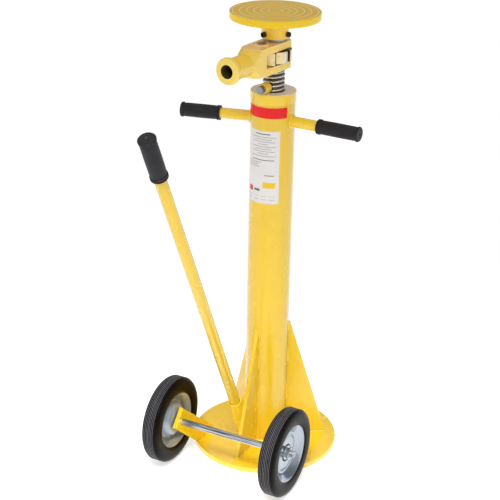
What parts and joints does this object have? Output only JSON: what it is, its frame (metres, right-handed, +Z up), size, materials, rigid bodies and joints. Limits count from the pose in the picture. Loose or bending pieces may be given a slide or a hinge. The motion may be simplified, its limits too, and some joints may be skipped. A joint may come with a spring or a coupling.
{
  "type": "trailer stabilising screw jack stand",
  "caption": "Wheeled screw jack stand: round base, gusseted column, ratchet-driven screw, round load plate, side carry handles and a stored operating lever.",
  "frame": {"origin": "centre of the round base plate's underside, on the ground", "axes": "+Z up the column, +X along the wheel axle, -Y the side that the wheels are on"},
  "size_m": [0.4343, 0.7271, 1.085],
  "materials": {
    "yellow_paint": "glossy yellow powder coat",
    "cast_paint": "satin yellow paint over rough casting",
    "machined_steel": "oiled bare steel",
    "zinc_plate": "bright zinc plating",
    "tyre_rubber": "matt black solid rubber",
    "grip_rubber": "matt charcoal rubber",
    "nylon": "natural nylon bush",
    "bronze": "bronze nut",
    "black_oxide": "black oxide"
  },
  "bodies": {
    "stand": {"base_plate": "yellow_paint", "column_tube": "yellow_paint", "gusset_front": "yellow_paint", "gusset_right": "yellow_paint", "gusset_left": "yellow_paint", "top_cap": "yellow_paint", "screw_nut": "bronze", "lock_boss": "yellow_paint", "carry_handle_left": "yellow_paint", "carry_handle_right": "yellow_paint", "handle_grip_left": "grip_rubber", "handle_grip_right": "grip_rubber", "lever_socket": "yellow_paint", "wheel_bracket_left": "yellow_paint", "wheel_bracket_right": "yellow_paint", "axle": "zinc_plate", "axle_washer_inner_left": "zinc_plate", "axle_washer_outer_left": "zinc_plate", "axle_washer_inner_right": "zinc_plate", "axle_washer_outer_right": "zinc_plate", "cotter_pin_left": "zinc_plate", "cotter_pin_right": "zinc_plate"},
    "carrier": {"thrust_washer": "zinc_plate"},
    "screw": {"lift_screw": "machined_steel", "ratchet_wheel": "cast_paint", "wheel_key": "machined_steel", "stop_washer": "machined_steel", "stop_bolt": "machined_steel"},
    "housing": {"ratchet_housing": "cast_paint", "pawl_pin": "zinc_plate", "pawl_pin_clip": "zinc_plate", "pawl_plunger": "machined_steel", "pawl_spring": "machined_steel"},
    "pawl": {"pawl": "machined_steel"},
    "plate": {"load_plate": "yellow_paint", "plate_collar": "yellow_paint", "collar_screw_1": "black_oxide", "collar_screw_2": "black_oxide", "collar_screw_3": "black_oxide"},
    "lever": {"lever_tube": "yellow_paint", "lever_grip": "grip_rubber"},
    "lock": {"lock_bolt": "zinc_plate", "lock_washer": "zinc_plate"},
    "wheel_left": {"tyre_left": "tyre_rubber", "rim_outer_left": "zinc_plate", "rim_inner_left": "zinc_plate", "hub_tube_left": "zinc_plate", "hub_bush_left": "nylon"},
    "wheel_right": {"tyre_right": "tyre_rubber", "rim_outer_right": "zinc_plate", "rim_inner_right": "zinc_plate", "hub_tube_right": "zinc_plate", "hub_bush_right": "nylon"}
  },
  "joints": [
    {"name": "lift", "type": "slide", "parent": "stand", "child": "carrier", "axis": [0, 0, 1], "range_m": [-0.0175, 0.27]},
    {"name": "screw_turn", "type": "hinge", "parent": "carrier", "child": "screw", "pos_m": [0, 0, 0.9], "axis": [0, 0, 1], "range_deg": [-630, 9720]},
    {"name": "housing_swing", "type": "hinge", "parent": "carrier", "child": "housing", "pos_m": [0, 0, 0.987], "axis": [0, 0, 1], "continuous": true},
    {"name": "pawl_flip", "type": "hinge", "parent": "housing", "child": "pawl", "pos_m": [-0.00589, -0.05167, 0.987], "axis": [0, 0, 1], "range_deg": [-13, 13]},
    {"name": "plate_spin", "type": "hinge", "parent": "carrier", "child": "plate", "pos_m": [0, 0, 1.05], "axis": [0, 0, 1], "continuous": true},
    {"name": "lever_draw", "type": "slide", "parent": "stand", "child": "lever", "axis": [0.0186, -0.4606, 0.8874], "range_m": [0, 0.12]},
    {"name": "lock_bolt_out", "type": "slide", "parent": "stand", "child": "lock", "axis": [-0.0698, -0.9976, 0], "range_m": [0, 0.006]},
    {"name": "wheel_left_spin", "type": "hinge", "parent": "stand", "child": "wheel_left", "pos_m": [-0.154, -0.2025, 0.1085], "axis": [1, 0, 0], "continuous": true},
    {"name": "wheel_right_spin", "type": "hinge", "parent": "stand", "child": "wheel_right", "pos_m": [0.154, -0.2025, 0.1085], "axis": [1, 0, 0], "continuous": true}
  ],
  "couplings": [
    {"joint": "screw_turn", "follows": "lift", "rad_per_m": 628.32}
  ]
}
